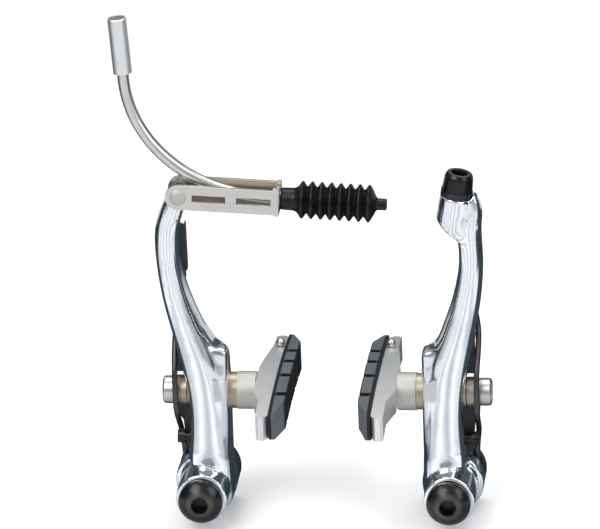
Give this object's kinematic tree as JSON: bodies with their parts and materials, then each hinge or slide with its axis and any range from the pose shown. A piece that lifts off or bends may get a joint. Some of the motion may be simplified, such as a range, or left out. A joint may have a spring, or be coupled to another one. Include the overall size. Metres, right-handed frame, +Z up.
{
  "type": "linear-pull bicycle rim brake",
  "caption": "Pair of cranked rim brake arms with cartridge shoes, return springs, folded cable link, curved lead pipe and rubber boot.",
  "frame": {"origin": "midway between the two pivot axes, in the plane of the two shoe posts", "axes": "+X along the line through the pivots towards the arm with the cable clamp, +Y along the pivot axes towards the frame's bosses, +Z up towards the cable link"},
  "size_m": [0.1247, 0.074, 0.1777],
  "materials": {
    "polished_alloy": "polished",
    "satin_alloy": "satin",
    "stainless": "satin",
    "bronzed_steel": "satin",
    "black_steel": "glossy black oxide",
    "spring_steel": "dark, glossy",
    "resin": "matt",
    "pad_rubber": "matt",
    "boot_rubber": "semi-gloss",
    "sleeve": "smooth"
  },
  "bodies": {
    "frame_bolts": {"left_bushing": "stainless", "right_bushing": "stainless", "left_pivot_bolt": "black_steel", "right_pivot_bolt": "black_steel"},
    "left_arm_body": {"left_arm": "polished_alloy", "left_spring_holder": "resin", "left_spring": "spring_steel", "left_spring_guide": "resin", "left_thick_washer": "stainless", "left_thin_washer": "bronzed_steel", "left_outer_dome": "stainless", "left_outer_cup": "stainless", "left_shoe_nut": "stainless"},
    "left_shoe": {"left_shoe_post": "stainless", "left_shoe_holder": "satin_alloy", "left_pad_insert": "pad_rubber", "left_pad_pin": "stainless"},
    "left_screw": {"left_tension_screw": "black_steel"},
    "right_arm_body": {"right_arm": "polished_alloy", "right_spring_holder": "resin", "right_spring": "spring_steel", "right_spring_guide": "resin", "right_thick_washer": "stainless", "right_thin_washer": "bronzed_steel", "right_outer_dome": "stainless", "right_outer_cup": "stainless", "right_shoe_nut": "stainless", "clamp_washer": "black_steel", "clamp_bolt": "black_steel"},
    "right_shoe": {"right_shoe_post": "stainless", "right_shoe_holder": "satin_alloy", "right_pad_insert": "pad_rubber", "right_pad_pin": "stainless"},
    "right_screw": {"right_tension_screw": "black_steel"},
    "link": {"link_bracket": "stainless", "link_pin": "stainless"},
    "boot": {"dust_boot": "boot_rubber"},
    "lead": {"lead_pipe": "stainless", "lead_sleeve": "sleeve", "lead_nose": "stainless", "lead_ferrule": "satin_alloy"}
  },
  "joints": [
    {"name": "left_arm_pivot", "type": "hinge", "parent": "frame_bolts", "child": "left_arm_body", "pos_m": [-0.042, 0, 0], "axis": [0, 1, 0], "range_deg": [-35, 4], "stiffness_Nm_per_rad": 1},
    {"name": "left_shoe_tilt", "type": "hinge", "parent": "left_arm_body", "child": "left_shoe", "pos_m": [-0.042, 0, 0.032], "axis": [1, 0, 0], "range_deg": [-12, 12]},
    {"name": "left_screw_turn", "type": "hinge", "parent": "left_arm_body", "child": "left_screw", "pos_m": [-0.042, -0.001, 0.01536], "axis": [-1, 0, 0], "continuous": true},
    {"name": "right_arm_pivot", "type": "hinge", "parent": "frame_bolts", "child": "right_arm_body", "pos_m": [0.042, 0, 0], "axis": [0, -1, 0], "range_deg": [-35, 4], "stiffness_Nm_per_rad": 1},
    {"name": "right_shoe_tilt", "type": "hinge", "parent": "right_arm_body", "child": "right_shoe", "pos_m": [0.042, 0, 0.032], "axis": [1, 0, 0], "range_deg": [-12, 12]},
    {"name": "right_screw_turn", "type": "hinge", "parent": "right_arm_body", "child": "right_screw", "pos_m": [0.042, -0.001, 0.01536], "axis": [1, 0, 0], "continuous": true},
    {"name": "link_swing", "type": "hinge", "parent": "left_arm_body", "child": "link", "pos_m": [-0.0472, -0.004, 0.105], "axis": [0, -1, 0], "range_deg": [-45, 90]},
    {"name": "boot_turn", "type": "hinge", "parent": "link", "child": "boot", "pos_m": [-0.0472, -0.004, 0.105], "axis": [0.9983, 0, -0.0576], "range_deg": [-20, 20]},
    {"name": "lead_release", "type": "slide", "parent": "boot", "child": "lead", "axis": [-0.9983, 0, 0.0576], "range_m": [0, 0.0025]}
  ]
}
